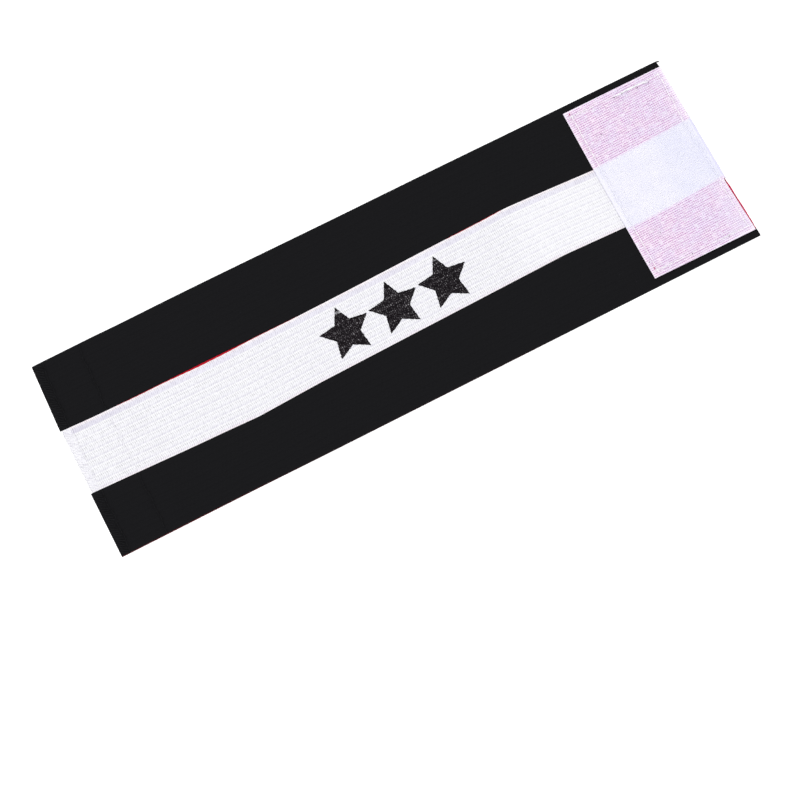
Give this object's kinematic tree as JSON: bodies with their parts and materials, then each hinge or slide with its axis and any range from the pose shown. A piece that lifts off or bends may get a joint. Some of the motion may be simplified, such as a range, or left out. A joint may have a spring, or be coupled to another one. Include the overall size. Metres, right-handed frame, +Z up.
{
  "type": "captain armband",
  "caption": "Ribbed elastic armband laid open, black with a white centre stripe and a plain star print, closed by a hook tape patch on one end and loop tape under the other.",
  "frame": {"origin": "centre of the band's outline, on the surface that the opened band lies on", "axes": "+X along the band towards the end with the hook tape, +Y across it towards the upper black stripe, +Z up out of the printed face"},
  "size_m": [0.309, 0.0906, 0.0033],
  "materials": {
    "black_elastic": "matte",
    "white_elastic": "matte",
    "hook_tape": "satin",
    "loop_tape": "matte"
  },
  "bodies": {
    "root": {"upper_stripe": "black_elastic", "centre_stripe": "white_elastic", "lower_stripe": "black_elastic", "hook_patch": "hook_tape", "loop_patch": "loop_tape"}
  },
  "joints": []
}
